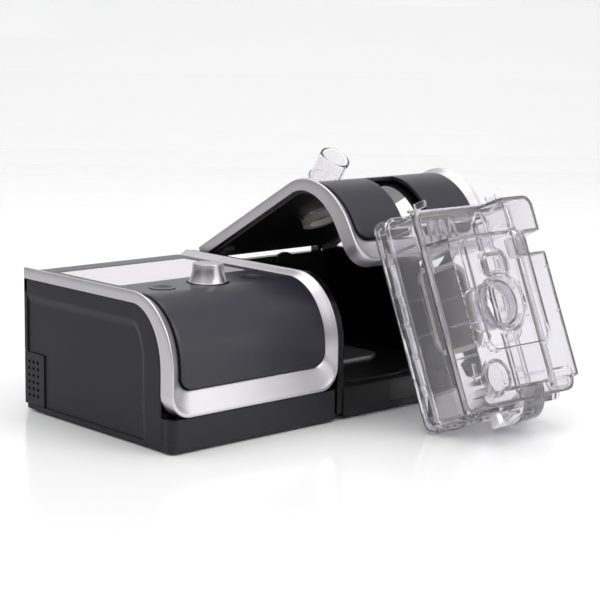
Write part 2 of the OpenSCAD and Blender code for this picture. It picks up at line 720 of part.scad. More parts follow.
module chamber_plate() color("#7c7f84") on_chamber() translate([plate_x + 1.4, plate_y + 1.4, 0])
    slab_plate(plate_w - 2.8, plate_d - 2.8, 9.6, 0.4, 2.4);

module plate_seal() color("#a7a9ad") on_chamber() translate([plate_x, plate_y, 0]) difference() {
    slab_plate(plate_w, plate_d, 11, 0.4, 4.6);
    translate([1.4, 1.4, 0]) slab_plate(plate_w - 2.8, plate_d - 2.8, 9.6, 0, 2.4);
    translate([3.4, 3.4, 0]) slab_plate(plate_w - 6.8, plate_d - 6.8, 7.6, 2, 6);
}

module chamber_gasket() color("#c9cbce") on_chamber() translate([cover_x0, cover_y0, 0]) difference() {
    slab_plate(cover_w, cover_l, 8, tank_h + gap, cover_z);
    translate([clear_wall + 1, clear_wall + 1, 0])
        slab_plate(cover_w - 2 * clear_wall - 2, cover_l - 2 * clear_wall - 2, 5, tank_h - 1, cover_z + 1);
}

// Outer form of the cover: full height except for the lower deck at the back left
module cover_form(inset, z0, top, deck) {
    translate([cover_x0 + inset, cover_y0 + inset, 0])
        slab_plate(cover_w - 2 * inset, cover_l - 2 * inset, 8 - inset, z0, deck);
    difference() {
        translate([cover_x0 + inset, cover_y0 + inset, 0])
            slab_plate(cover_w - 2 * inset, cover_l - 2 * inset, 8 - inset, deck - eps, top);
        block([-1, deck_y - inset, deck - 1], [deck_w + inset, tank_l + 1, top + 1]);
    }
}

module chamber_cover() color("#e4e5e8") on_chamber() difference() {
    union() {
        cover_form(0, cover_z, roof_z, deck_z);
        // raised platform round the outlet port
        translate([pad_x, pad_y, 0]) slab_plate(pad_w, pad_l, 12, roof_z - eps, chamber_h);
        // nose that fills the slot in the lid
        translate([nose_x, cover_y0 - nose_out, 0]) slab_plate(nose_w, nose_out + 12, 4, cover_z, roof_z);
        cover_ears();
    }
    cover_form(clear_wall, cover_z - 1, roof_z - clear_wall, deck_z - clear_wall);
    translate([port_x, port_y, cover_z]) cylinder(h = 40, r = port_r);
    // air inlet window in the left wall
    block([cover_x0 - 1, deck_y - 18, cover_z + 3], [cover_x0 + clear_wall + 1, deck_y - 4, roof_z - 4]);
    translate([-1, hinge_y(), hinge_z()]) rotate([0, 90, 0]) cylinder(h = tank_w + 2, r = chamber_pin_r + running);
}

module cover_ears()
    for (x = [cover_x0 + lug_w + gap, cover_x0 + cover_w - lug_w - gap - ear_w]) slab(x, x + ear_w) {
        translate([hinge_y(), hinge_z()]) circle(2.2);
        translate([hinge_y() - 2.2, hinge_z()]) square([4.4, cover_z + 3 - hinge_z()]);
        translate([hinge_y() - 4, cover_z + 0.6]) square([4, 2.4]);
    }

module chamber_hinge_pin() color("#b9bbbf") on_chamber()
    for (x = [cover_x0, cover_x0 + cover_w - lug_w - gap - ear_w]) translate([x, hinge_y(), hinge_z()])
        rotate([0, 90, 0]) cylinder(h = lug_w + gap + ear_w, r = chamber_pin_r);

module chamber_baffle() color("#dcdde0") on_chamber() translate([port_x, port_y, 0])
    tube(port_r, port_r - 1.8, cover_z + 2, baffle_top);

module chamber_clip() color("#d2d4d8") on_chamber() {
    block([clip_x, cover_y0 - gap - clip_t, clip_z], [clip_x + clip_w, cover_y0 - gap, cover_z + 6]);
    // round lower edge, which it turns about
    translate([clip_x, cover_y0 - gap - clip_t / 2, clip_z]) rotate([0, 90, 0]) cylinder(h = clip_w, r = clip_t / 2);
}

base_tray();
left_side_cover();
right_side_wall();
rear_panel();
front_panel();
trim_band();
top_panel();
display_window();
display_module();
control_board();
encoder_body();
encoder_plunger();
knob();
left_button();
right_button();
button_switches();
blower_shelf();
muffler_foam();
blower_mounts();
blower_motor();
volute_lower();
volute_upper();
impeller();
air_duct();
power_board();
power_inlet();
air_filter();
filter_cover();
rear_port_flap();
rubber_feet();
case_screws();
humidifier_housing();
humidifier_base();
port_seal();
heater_plate();
heater_element();
heater_springs();
release_button();
hinge_pins();
lid_frame();
lid_panel();
lid_liner();
lid_hinge_arms();
lid_catch();
outlet_tube();
outlet_seal();
chamber_tank();
chamber_plate();
plate_seal();
chamber_gasket();
chamber_cover();
chamber_hinge_pin();
chamber_baffle();
chamber_clip();
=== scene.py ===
# %% [markdown]
# A bedside mechanical ventilator: a blower unit with a knob and a display, a
# humidifier with its lid open, and a clear water chamber that leans in front.
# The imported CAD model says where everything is, and the sizes below repeat its
# own. This file gives the looks: some CAD nodes keep their shape and get a
# better finish, and the surfaces that the eye rests on are worked out again as
# smooth numpy surfaces.

# %% Load the frame
from math import radians, sin, cos, tau

import bmesh
import bpy
import numpy as np
from mathutils import Matrix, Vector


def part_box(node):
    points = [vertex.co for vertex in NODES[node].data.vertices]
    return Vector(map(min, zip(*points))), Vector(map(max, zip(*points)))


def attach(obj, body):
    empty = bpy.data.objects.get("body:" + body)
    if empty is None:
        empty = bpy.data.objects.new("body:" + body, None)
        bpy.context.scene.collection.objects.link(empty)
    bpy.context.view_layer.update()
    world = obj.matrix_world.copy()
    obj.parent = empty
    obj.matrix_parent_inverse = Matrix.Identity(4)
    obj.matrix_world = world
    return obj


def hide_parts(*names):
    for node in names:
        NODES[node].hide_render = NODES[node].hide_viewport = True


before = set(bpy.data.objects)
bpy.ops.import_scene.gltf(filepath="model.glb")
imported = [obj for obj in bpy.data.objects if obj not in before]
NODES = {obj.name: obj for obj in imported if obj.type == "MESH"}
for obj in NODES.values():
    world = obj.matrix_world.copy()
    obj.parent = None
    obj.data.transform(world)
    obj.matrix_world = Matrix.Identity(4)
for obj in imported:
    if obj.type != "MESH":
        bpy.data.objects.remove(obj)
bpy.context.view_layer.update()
MM = 0.001
print("CAD nodes:", len(NODES))

# %% [markdown]
# Most sizes below are in millimetres in the unit's own terms: X from the left
# side face, Y back from the front face, Z up from the table. The silver band
# touches both faces, so its box says where they are in the frame. The lid and
# the chamber are drawn in their own flat places and then turned, as a designer
# would do, because their shapes are simple there.

# %% Places
LEFT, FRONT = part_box("trim_band")[0][:2]
MAIN_W, DEPTH, TOP = 140.0, 158.0, 97.0
RUN, DROP = 40.0, 47.0                     # rounded front edge
FACE, BAR_LOW, BAR_HIGH = 9.0, 21.6, 38.4  # silver band
PANEL_DROP = 3.0
LID_X, LID_W, LID_BACK = 146.0, 135.6, 149.0
LID_MID = LID_X + LID_W / 2
LID_OPEN = radians(30)
HINGE_IN, HINGE_DOWN = 4.2, 6.5            # from the back face, from the top
LEAN = radians(22.5)
TANK_X, TANK_FOOT = 159.0, -62.5


def at_unit(p):
    """Unit millimetres to frame metres: a shift and a scale."""
    return np.asarray(p, float) * MM + np.array([LEFT, FRONT, 0.0])


def on_lid(p):
    """Closed-lid millimetres to frame metres: a turn about the hinge line."""
    hinge = np.array([0.0, DEPTH - HINGE_IN, TOP - HINGE_DOWN])
    x, y, z = np.moveaxis(np.asarray(p, float) - hinge, -1, 0)
    c, s = cos(LID_OPEN), sin(LID_OPEN)
    return at_unit(np.stack([x, y * c + z * s, z * c - y * s], -1) + hinge)


def on_chamber(p):
    """Flat-chamber millimetres to frame metres: stood up on its front edge and leaned back."""
    x, y, z = np.moveaxis(np.asarray(p, float), -1, 0)
    c, s = cos(LEAN), sin(LEAN)
    return at_unit(np.stack([TANK_X + x, TANK_FOOT + y * s - z * c, y * c + z * s], -1))


print("left and front faces at", LEFT, FRONT, "m")

# %% [markdown]
# A surface here is a grid of points, and its faces join neighbours in the grid.
# A wrapped direction closes on itself. Points that fall together are merged, so
# that a pole or a seam is closed. Whole arrays are quicker than adding one
# vertex after another, and they read like the formula they come from.

# %% Mesh helpers
def grid_faces(rows, cols, wrap_rows=False, wrap_cols=False, keep=None):
    """Quads (i, j), (i, j+1), (i+1, j+1), (i+1, j) over a rows x cols grid; keep masks them."""
    i, j = np.meshgrid(np.arange(rows - (not wrap_rows)), np.arange(cols - (not wrap_cols)), indexing="ij")
    if keep is not None:
        i, j = i[keep], j[keep]
    a, b = i * cols + j, i * cols + (j + 1) % cols
    c, d = ((i + 1) % rows) * cols + (j + 1) % cols, ((i + 1) % rows) * cols + j
    return np.stack([a, b, c, d], -1).reshape(-1, 4)


def make(name, points, faces, flip=False):
    """A mesh object from arrays, with doubled points merged. Its faces stay as given, or are all
    turned over if flip is true, or point out of the closed shape if flip is None."""
    mesh = bpy.data.meshes.new(name)
    mesh.from_pydata(points.reshape(-1, 3).tolist(), [], faces.tolist())
    bm = bmesh.new()
    bm.from_mesh(mesh)
    bmesh.ops.remove_doubles(bm, verts=bm.verts, dist=2e-6)
    loose = [v for v in bm.verts if not v.link_faces]
    bmesh.ops.delete(bm, geom=loose, context="VERTS")
    if flip is None:
        bmesh.ops.recalc_face_normals(bm, faces=bm.faces)
    elif flip:
        bmesh.ops.reverse_faces(bm, faces=bm.faces)
    bm.to_mesh(mesh)
    bm.free()
    obj = bpy.data.objects.new(name, mesh)
    bpy.context.scene.collection.objects.link(obj)
    return obj


print("faces in a grid of 3 x 4 points:", len(grid_faces(3, 4)))

# %% [markdown]
# Modifiers give a sheet its wall and its soft edges, as a moulding has. They are
# applied at once, because a sharp edge can only be marked on the final mesh.

# %% Walls, edges and finished pieces
def apply_all(obj, crease=35):
    """Makes the modified mesh the real one, smooth except where faces meet at more than crease degrees."""
    bpy.context.view_layer.update()
    graph = bpy.context.evaluated_depsgraph_get()
    mesh = bpy.data.meshes.new_from_object(obj.evaluated_get(graph))
    obj.modifiers.clear()
    obj.data = mesh
    mesh.polygons.foreach_set("use_smooth", np.ones(len(mesh.polygons), bool))
    mesh.set_sharp_from_angle(angle=radians(crease))
    return obj


def wall(obj, thickness, soft=0.0, steps=3, limit=50):
    """Gives a sheet its thickness on the back, and rounds the rim that this makes."""
    solid = obj.modifiers.new("wall", "SOLIDIFY")
    solid.thickness = thickness * MM
    solid.offset = -1
    solid.use_even_offset = True
    if soft:
        round_edges(obj, soft, steps, limit)
    return obj


def round_edges(obj, width, steps=3, limit=50):
    """Rounds every edge whose faces meet at more than limit degrees."""
    bevel = obj.modifiers.new("edge", "BEVEL")
    bevel.width = width * MM
    bevel.segments = steps
    bevel.limit_method = "ANGLE"
    bevel.angle_limit = radians(limit)
    return obj


def place(obj, body, material, stands_for=(), crease=35):
    """Finishes a piece: its final mesh, its material and slot, the body that carries it, and the
    nodes it stands for."""
    apply_all(obj, crease)
    obj.data.materials.clear()
    obj.data.materials.append(material)
    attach(obj, body)
    if stands_for:
        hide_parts(*stands_for)
    return obj


# %% [markdown]
# Round parts are profiles turned about an axis, and moulded blocks are rings
# joined one above another, because that is how a designer would draw them. The
# outlines of both are straight runs and arcs.

# %% Outlines and rings
def lathe(profile, turns=96):
    """Turns (radius, height) points about +Z: (r cos t, r sin t, z) for t over a full circle."""
    r, z = np.asarray(profile, float).T
    t = np.linspace(0, tau, turns, endpoint=False)
    pts = np.stack([r[:, None] * np.cos(t), r[:, None] * np.sin(t), np.repeat(z[:, None], turns, 1)], -1)
    return pts, grid_faces(len(r), turns, wrap_cols=True)


def corner(cx, cy, r, a0, a1, n=8):
    """Points on an arc about (cx, cy) from angle a0 to a1, in degrees."""
    a = np.radians(np.linspace(a0, a1, n))
    return np.stack([cx + r * np.cos(a), cy + r * np.sin(a)], -1)


def rounded(x0, y0, x1, y1, r, n=8):
    """Rectangle with round corners, counter-clockwise, as an array of outline points."""
    return np.concatenate([
        corner(x1 - r, y0 + r, r, -90, 0, n), corner(x1 - r, y1 - r, r, 0, 90, n),
        corner(x0 + r, y1 - r, r, 90, 180, n), corner(x0 + r, y0 + r, r, 180, 270, n)])


def loft(rings):
    """Joins rings of (n, 3) points, and caps both ends by a fan to the ring's middle."""
    pts = np.stack(rings)
    ends = [np.repeat(ring.mean(0, keepdims=True), len(ring), 0) for ring in (pts[0], pts[-1])]
    pts = np.concatenate([ends[0][None], pts, ends[1][None]])
    return pts, grid_faces(pts.shape[0], pts.shape[1], wrap_cols=True)


def lift(outline, z):
    """Adds a height to 2-D outline points."""
    return np.column_stack([outline, np.full(len(outline), float(z))])


print("points round a rectangle:", len(rounded(0, 0, 2, 1, 0.2)))

# %% [markdown]
# Finishes. Each material varies a little in colour and in gloss over the
# surface, as moulded and lacquered parts do, and has a fine bump for its grain.
# One function makes them all, because a designer gives the same few facts for
# each: colour, gloss, metal or not, and how coarse the grain is.

# %% A finish
PATCHES = 22          # broad noise, per metre
GRAIN_DEPTH = 0.0002  # metres
GLOSS_SWING = 0.12    # share of the roughness


def finish(name, colour, rough, metal=0.0, grain=1500.0, bump=0.03, vary=0.06,
           stretch=(1, 1, 1), coat=0.0, gleam=0.5):
    """A noise on Object coordinates drives a small change of colour, of roughness and of height."""
    mat = bpy.data.materials.new(name)
    mat.use_nodes = True
    nt = mat.node_tree
    shader = nt.nodes["Principled BSDF"]
    coords = nt.nodes.new("ShaderNodeTexCoord")
    scale = nt.nodes.new("ShaderNodeMapping")
    scale.inputs["Scale"].default_value = stretch
    fine = nt.nodes.new("ShaderNodeTexNoise")
    fine.inputs["Scale"].default_value = grain
    fine.inputs["Detail"].default_value = 3
    broad = nt.nodes.new("ShaderNodeTexNoise")
    broad.inputs["Scale"].default_value = PATCHES
    broad.inputs["Detail"].default_value = 4
    mix = nt.nodes.new("ShaderNodeMix")
    mix.data_type = "RGBA"
    mix.inputs["A"].default_value = (*[c * (1 - vary) for c in colour], 1)
    mix.inputs["B"].default_value = (*[min(1, c * (1 + vary)) for c in colour], 1)
    gloss = nt.nodes.new("ShaderNodeMapRange")
    gloss.inputs["To Min"].default_value = rough * (1 - GLOSS_SWING)
    gloss.inputs["To Max"].default_value = min(1, rough * (1 + GLOSS_SWING))
    height = nt.nodes.new("ShaderNodeBump")
    height.inputs["Strength"].default_value = bump
    height.inputs["Distance"].default_value = GRAIN_DEPTH
    link = nt.links.new
    link(coords.outputs["Object"], scale.inputs["Vector"])
    link(scale.outputs["Vector"], fine.inputs["Vector"])
    link(coords.outputs["Object"], broad.inputs["Vector"])
    link(broad.outputs["Fac"], mix.inputs["Factor"])
    link(mix.outputs["Result"], shader.inputs["Base Color"])
    link(broad.outputs["Fac"], gloss.inputs["Value"])
    link(gloss.outputs["Result"], shader.inputs["Roughness"])
    link(fine.outputs["Fac"], height.inputs["Height"])
    link(height.outputs["Normal"], shader.inputs["Normal"])
    shader.inputs["Metallic"].default_value = metal
    shader.inputs["Specular IOR Level"].default_value = gleam
    shader.inputs["Coat Weight"].default_value = coat
    shader.inputs["Coat Roughness"].default_value = 0.05
    return mat


# %% [markdown]
# Clear plastic is the same finish with light let through it. Many clear walls
# stand one behind another here, and with the plastic's true index they go dark,
# so a lower index is used. A small share of the surface lets no light through,
# which reads as a slight haze.

# %% Clear plastic
def clear_finish(name, colour, rough, ior, clear):
    """Light passes through the share of the surface that clear gives; the rest looks milky."""
    mat = finish(name, colour, rough, grain=400, bump=0.02, vary=0.01)
    shader = mat.node_tree.nodes["Principled BSDF"]
    shader.inputs["Transmission Weight"].default_value = clear
    shader.inputs["IOR"].default_value = ior
    return mat


# %% [markdown]
# The finishes of this unit. The case is almost black with a soft gloss, the
# trim is silver lacquer, the knob is turned metal, and the parts inside have
# the plain looks of foam, board, nylon and steel.

# %% The finishes
CASE = finish("case_plastic", (0.0150, 0.0146, 0.0190), 0.40, grain=2600, bump=0.10, gleam=0.26)
PANEL = finish("panel_plastic", (0.0170, 0.0158, 0.0250), 0.33, grain=3000, bump=0.03, coat=0.06, gleam=0.4)
SILVER = finish("silver_lacquer", (0.60, 0.585, 0.61), 0.36, metal=0.95, grain=5000, bump=0.05)
KNOB = finish("knob_metal", (0.46, 0.44, 0.46), 0.24, metal=1.0, grain=900, bump=0.05, stretch=(1, 1, 14))
BAY = finish("bay_plastic", (0.003, 0.003, 0.0035), 0.24, grain=1800, bump=0.03, gleam=0.35)
LINER = finish("liner_plastic", (0.010, 0.0095, 0.010), 0.30, grain=1800, bump=0.06)
DISPLAY = finish("display_glass", (0.60, 0.555, 0.585), 0.16, grain=60, bump=0.0, vary=0.03, coat=0.3)
RUBBER = finish("soft_rubber", (0.018, 0.018, 0.019), 0.75, grain=2500, bump=0.2)
GREY = finish("inner_plastic", (0.10, 0.10, 0.105), 0.5, grain=1500, bump=0.08)
STEEL = finish("drawn_steel", (0.55, 0.55, 0.56), 0.28, metal=1.0, grain=1200, bump=0.05, stretch=(1, 1, 8))
HEATER = finish("brushed_plate", (0.42, 0.42, 0.43), 0.34, metal=1.0, grain=1400, bump=0.08,
                stretch=(12, 1, 1))
COPPER = finish("heater_copper", (0.62, 0.30, 0.16), 0.35, metal=1.0, grain=800, bump=0.05)
FOAM = finish("open_foam", (0.20, 0.19, 0.18), 0.95, grain=700, bump=0.9, vary=0.3)
BOARD = finish("circuit_board", (0.03, 0.14, 0.07), 0.4, grain=500, bump=0.1, vary=0.25)
NYLON = finish("natural_nylon", (0.66, 0.66, 0.62), 0.45, grain=900, bump=0.05)
DARK_METAL = finish("chamber_metal", (0.16, 0.15, 0.155), 0.36, metal=1.0, grain=1400, bump=0.1,
                    stretch=(1, 14, 1))
SEAL = finish("silicone_seal", (0.42, 0.40, 0.36), 0.45, grain=900, bump=0.05)
CLEAR = clear_finish("clear_plastic", (0.93, 0.92, 0.948), rough=0.035, ior=1.29, clear=0.945)
TUBE = clear_finish("clear_tube", (0.965, 0.955, 0.97), rough=0.02, ior=1.25, clear=0.97)
print("finishes:", len(bpy.data.materials))

# %% [markdown]
# The CAD nodes that keep their shape get their finish here. A node's shape is
# never touched; only its material slot changes.

# %% Finish the kept nodes
KEPT = {
    CASE: ["base_tray", "right_side_wall", "rear_panel", "front_panel", "filter_cover", "power_inlet"],
    PANEL: ["left_button", "right_button"],
    DISPLAY: ["display_window"],
    BOARD: ["control_board", "power_board"],
    GREY: ["display_module", "encoder_body", "button_switches", "blower_shelf", "volute_lower",
           "volute_upper", "air_duct", "lid_hinge_arms", "lid_catch"],
    COPPER: ["heater_element"],
    FOAM: ["muffler_foam", "air_filter"],
    RUBBER: ["rubber_feet", "blower_mounts", "rear_port_flap", "port_seal"],
    STEEL: ["case_screws", "heater_springs", "hinge_pins", "chamber_hinge_pin", "encoder_plunger",
            "blower_motor"],
    NYLON: ["impeller"],
    BAY: ["humidifier_housing", "humidifier_base"],
    LINER: ["lid_liner", "release_button"],
    HEATER: ["heater_plate"],
    SEAL: ["plate_seal", "chamber_gasket", "outlet_seal"],
    DARK_METAL: ["chamber_plate"],
    CLEAR: ["chamber_baffle", "chamber_clip"],
}
for material, names in KEPT.items():
    for node_name in names:
        mesh = NODES[node_name].data
        mesh.materials.clear()
        mesh.materials.append(material)
print("kept nodes:", sum(len(v) for v in KEPT.values()))

# %% [markdown]
# The rounded front edge is one family of curves: a quarter of an ellipse drawn
# in by dy at the front and dz at the top. The silver band, the dark panels and
# the lid all lie on it, so one function serves them.

# %% The rounded front edge
def edge(t, dy, dz, back):
    """Side view at t: 0..1 from the back along the flat top, 1..2 round the ellipse, 2..3 down the
    front to the foot of the bar. Returns (y, z); dy and dz say how far in from the outer surface."""
    a = np.clip(t - 1, 0, 1) * tau / 4
    y = RUN - (RUN - dy) * np.sin(a) + np.clip(1 - t, 0, 1) * (back - RUN)
    z = (TOP - DROP) + (DROP - dz) * np.cos(a) - np.clip(t - 2, 0, None) * (TOP - DROP - BAR_LOW)
    return y, z


def fall(z):
    """The t of a height z on the straight front."""
    return 2 + (TOP - DROP - z) / (TOP - DROP - BAR_LOW)


print("edge runs from", edge(0, 0, 0, DEPTH), "to", edge(3, 0, 0, DEPTH))

# %% [markdown]
# The silver band is a U: two legs that follow the edge, and a bar across the
# front. Its section has a small round outer edge, a bead, and a long slope in
# to the dark panel. One fixed section would be pinched at the tight inner
# corners, so an outer and an inner path are matched point by point, and the
# section is spread between them.

# %% Silver band
CORNER_OUT, CORNER_IN = 15.0, 9.0
BAND_WALL = 1.6

# Across the band: share of the way in, then depth below the surface at the front and at the top
SECTION = np.array([
    [0.0, 11.4, 7.4], [0.0, 6.0, 4.0], [0.0, 1.2, 1.1], [0.01, 0.7, 0.65], [0.03, 0.35, 0.3],
    [0.06, 0.1, 0.1], [0.10, 0.0, 0.0], [0.145, 0.05, 0.05], [0.18, 0.3, 0.3], [0.21, 0.65, 0.65],
    [0.35, 1.35, 1.35], [0.6, 2.7, 2.6], [0.85, 4.1, 3.9], [0.94, 4.7, 4.5], [1.0, 5.6, 5.4],
    [1.0, 7.4, 7.0]])


def band_path(width):
    """Matching outer and inner points (x, t) of the U: down the left leg, round the corner, across
    the bar, and up the right leg."""
    legs = np.concatenate([np.linspace(0, 1, 14)[:-1], np.linspace(1, 2, 30)[:-1]])
    t_out = np.concatenate([legs, np.linspace(2, fall(BAR_LOW + CORNER_OUT), 8)])
    t_in = np.concatenate([legs, np.linspace(2, fall(BAR_HIGH + CORNER_IN), 8)])
    outer = np.column_stack([np.zeros(len(t_out)), t_out])
    inner = np.column_stack([np.full(len(t_in), FACE), t_in])
    bend_out = corner(CORNER_OUT, BAR_LOW + CORNER_OUT, CORNER_OUT, 180, 270, 16)[1:]
    bend_in = corner(FACE + CORNER_IN, BAR_HIGH + CORNER_IN, CORNER_IN, 180, 270, 16)[1:]
    outer = np.concatenate([outer, np.column_stack([bend_out[:, 0], fall(bend_out[:, 1])])])
    inner = np.concatenate([inner, np.column_stack([bend_in[:, 0], fall(bend_in[:, 1])])])
    flat = np.linspace(0, 0.5, 8)[1:, None]
    outer = np.concatenate([outer, outer[-1] + flat * [width - 2 * outer[-1, 0], 0]])
    inner = np.concatenate([inner, inner[-1] + flat * [width - 2 * inner[-1, 0], 0]])
    mirror = np.array([[width, 0.0]])
    flipped = [mirror + side[-2::-1] * [-1, 1] for side in (outer, inner)]
    return np.concatenate([outer, flipped[0]]), np.concatenate([inner, flipped[1]])


def band_surface(x0, width, back):
    """Points on the silver band: each path point mixes outer and inner by the section's share."""
    outer, inner = band_path(width)
    share, dy, dz = SECTION.T
    xt = outer[:, None] * (1 - share[None, :, None]) + inner[:, None] * share[None, :, None]
    y, z = edge(xt[..., 1], dy[None], dz[None], back)
    return np.stack([x0 + xt[..., 0], y, z], -1)


def silver_band(name, x0, width, back, turn, body, stands_for):
    """The band as a finished piece: the surface, set in its place, with a wall on its inside."""
    pts = band_surface(x0, width, back)
    obj = make(name, turn(pts), grid_faces(*pts.shape[:2]), flip=True)
    wall(obj, BAND_WALL)
    return place(obj, body, SILVER, stands_for, crease=50)


silver_band("silver_band", 0, MAIN_W, DEPTH, at_unit, "case", ["trim_band"])
silver_band("lid_silver_band", LID_X, LID_W, LID_BACK, on_lid, "lid", ["lid_frame"])
print("silver bands made")

# %% [markdown]
# The dark panels are sheets on the same curve. Their lower corners are round:
# there the half-width shrinks as a circle does.

# %% Panel sheet
PANEL_RADIUS, PANEL_GAP, PANEL_WALL, PANEL_SOFT = 9.0, 0.5, 2.5, 0.9
BACK_GAP = 0.4


def panel_rows(radius, low, soft=12):
    """(t, shrink) rows from the back to the lower rim; shrink is what the half-width loses there."""
    a = np.radians(np.linspace(0, 90, soft))
    t = np.concatenate([
        np.linspace(0, 1, 24)[:-1], np.linspace(1, 2, 40)[:-1],
        np.linspace(2, fall(low + radius), 12)[:-1], fall(low + radius * (1 - np.sin(a)))])
    shrink = np.zeros(len(t))
    shrink[-soft:] = radius * (1 - np.cos(a))
    return t, shrink


def panel_sheet(x0, width, back, across):
    """Panel points: x = middle + (half-width - shrink) * s for each s of across, -1..1, on the
    curve at PANEL_DROP."""
    t, shrink = panel_rows(PANEL_RADIUS, BAR_HIGH + PANEL_GAP)
    half = width / 2 - FACE - PANEL_GAP
    x = x0 + width / 2 + (half - shrink)[:, None] * across[None, :]
    y, z = edge(t[:, None] + 0 * x, PANEL_DROP, PANEL_DROP, back)
    return np.stack([x, y, z], -1)


print("panel rows:", len(panel_rows(PANEL_RADIUS, BAR_HIGH)[0]))

# %% [markdown]
# Holes are cut with plain drums and bricks. A hole could also be left out of
# the faces, but then its rim would follow the grid and not be truly round.

# %% Cutters
def cut(obj, cutter):
    """Takes the cutter's shape out of obj, and removes the cutter."""
    boolean = obj.modifiers.new("cut", "BOOLEAN")
    boolean.operation = "DIFFERENCE"
    boolean.solver = "EXACT"
    boolean.object = cutter
    apply_all(obj)
    bpy.data.objects.remove(cutter)


def drum(name, centre, radius, z0, z1, turn=at_unit, turns=72):
    """A plain round cutter."""
    pts, faces = lathe([(0, z0), (radius, z0), (radius, z1), (0, z1)], turns)
    return make(name, turn(pts + np.array([centre[0], centre[1], 0])), faces, flip=None)


def brick(name, low, high):
    """A plain box cutter."""
    x, y, z = [np.array(pair) for pair in zip(low, high)]
    ring = np.array([[x[0], y[0]], [x[1], y[0]], [x[1], y[1]], [x[0], y[1]]])
    pts, faces = loft([lift(ring, z[0]), lift(ring, z[1])])
    return make(name, at_unit(pts), faces, flip=None)


CUT_LOW, CUT_HIGH = 85, 99  # through any panel's flat top
print("cutters reach from", CUT_LOW, "to", CUT_HIGH, "mm")

# %% [markdown]
# The main panel has three round holes, for the knob and the two buttons, and
# the display's window behind them. The rim is rounded last, so that the holes
# get soft edges too.

# %% Main panel
CONTROL_Y, KNOB_X = 51.0, MAIN_W / 2
KNOB_HOLE, BUTTON_HOLE, BUTTON_OUT = 14.1, 8.8, 37.5
WINDOW_HALF, WINDOW_FRONT, WINDOW_BACK = 54, 74, 142

sheet = panel_sheet(0, MAIN_W, DEPTH - BACK_GAP, np.linspace(-1, 1, 41))
main_panel = make("waterfall_panel", at_unit(sheet), grid_faces(*sheet.shape[:2]), flip=True)
wall(main_panel, PANEL_WALL)
for dx, r in [(0, KNOB_HOLE), (-BUTTON_OUT, BUTTON_HOLE), (BUTTON_OUT, BUTTON_HOLE)]:
    cut(main_panel, drum("cutter", (KNOB_X + dx, CONTROL_Y), r, CUT_LOW, CUT_HIGH))
cut(main_panel, brick("cutter", (KNOB_X - WINDOW_HALF, WINDOW_FRONT, CUT_LOW),
                      (KNOB_X + WINDOW_HALF, WINDOW_BACK, CUT_HIGH)))
round_edges(main_panel, PANEL_SOFT, 3, 60)
place(main_panel, "case", PANEL, ["top_panel"])
print("main panel faces:", len(main_panel.data.polygons))

# %% [markdown]
# The lid's panel has a slot down its front, where the lid shows the chamber.
# The slot has straight sides, so the grid gets a column along each of them and
# the faces between are left out.

# %% Lid panel
SLOT_HALF, SLOT_TOP, SLOT_SHARE = 13.15, 88.5, 0.235
OUTLET = (LID_MID - 10.8, 78.0)
OUTLET_HOLE = 12.6

across = np.concatenate([np.linspace(-1, -SLOT_SHARE, 16), np.linspace(-SLOT_SHARE, SLOT_SHARE, 9)[1:-1],
                         np.linspace(SLOT_SHARE, 1, 16)])
sheet = panel_sheet(LID_X, LID_W, LID_BACK - BACK_GAP, across)
in_slot = np.abs(sheet[..., 0] - LID_MID) < SLOT_HALF - 0.6
front_part = (sheet[..., 1] < RUN) & (sheet[..., 2] < SLOT_TOP + 1)
open_cell = (in_slot[:-1, :-1] | in_slot[:-1, 1:]) & front_part[:-1, :-1]
faces = grid_faces(*sheet.shape[:2], keep=~open_cell)
lid_panel = make("lid_waterfall_panel", on_lid(sheet), faces, flip=True)
wall(lid_panel, PANEL_WALL, PANEL_SOFT, 3, 60)
apply_all(lid_panel)
cut(lid_panel, drum("cutter", OUTLET, OUTLET_HOLE, CUT_LOW, CUT_HIGH, on_lid))
place(lid_panel, "lid", PANEL, ["lid_panel"])
print("lid panel faces:", len(lid_panel.data.polygons))

# %% [markdown]
# The left cover is flat but for one soft step. Between the outer edge under the
# silver band and the sunk field behind it lies a family of side outlines, and
# the depth depends only on how far in we are. The field itself is a second,
# plain grid that leaves room for the filter cover.

# %% Left side cover
BASE, FIELD_X, COVER_WALL = 4.5, 1.1, 1.8
FILTER_Y, FILTER_TOP = 135.7, 40.3
UNDER_Y, UNDER_Z = 11.5, 7.5             # outermost outline, in from the surface
STEP_AT, STEP_WIDE = 0.555, 0.13         # where the cover steps in, as shares of q


def side_cover():
    """Outer part, for q in 0..1: the outline is drawn in linearly at the front and as q^2.38 at the
    top, until it shrinks to the middle of the ellipse. The depth is a smooth step of q."""
    q = np.array([0, 0.012, 0.03, 0.1, 0.3, 0.5, 0.545, 0.56, 0.575, 0.60, 0.63, 0.655, 0.675, 0.69,
                  0.71, 0.85, 1.0])
    t = np.concatenate([np.linspace(0, 1, 20)[:-1], np.linspace(1, 2, 36)[:-1], np.linspace(2, 3, 10),
                        np.linspace(3.0001, fall(BASE), 6)])
    s = np.clip((q - STEP_AT) / STEP_WIDE, 0, 1)
    depth = FIELD_X * s * s * (3 - 2 * s) + 0.5 * np.clip(1 - q / 0.02, 0, 1)
    dy = UNDER_Y + (RUN - UNDER_Y) * q[None, :]
    dz = UNDER_Z + (DROP - UNDER_Z) * q[None, :] ** 2.38
    y, z = edge(t[:, None], dy, dz, DEPTH - 0.1)
    y = y - 2.2 * (t[:, None] > 3) * (1 - q[None, :])
    outer = np.stack([np.broadcast_to(depth, y.shape), y, z], -1)
    return outer, grid_faces(*y.shape)


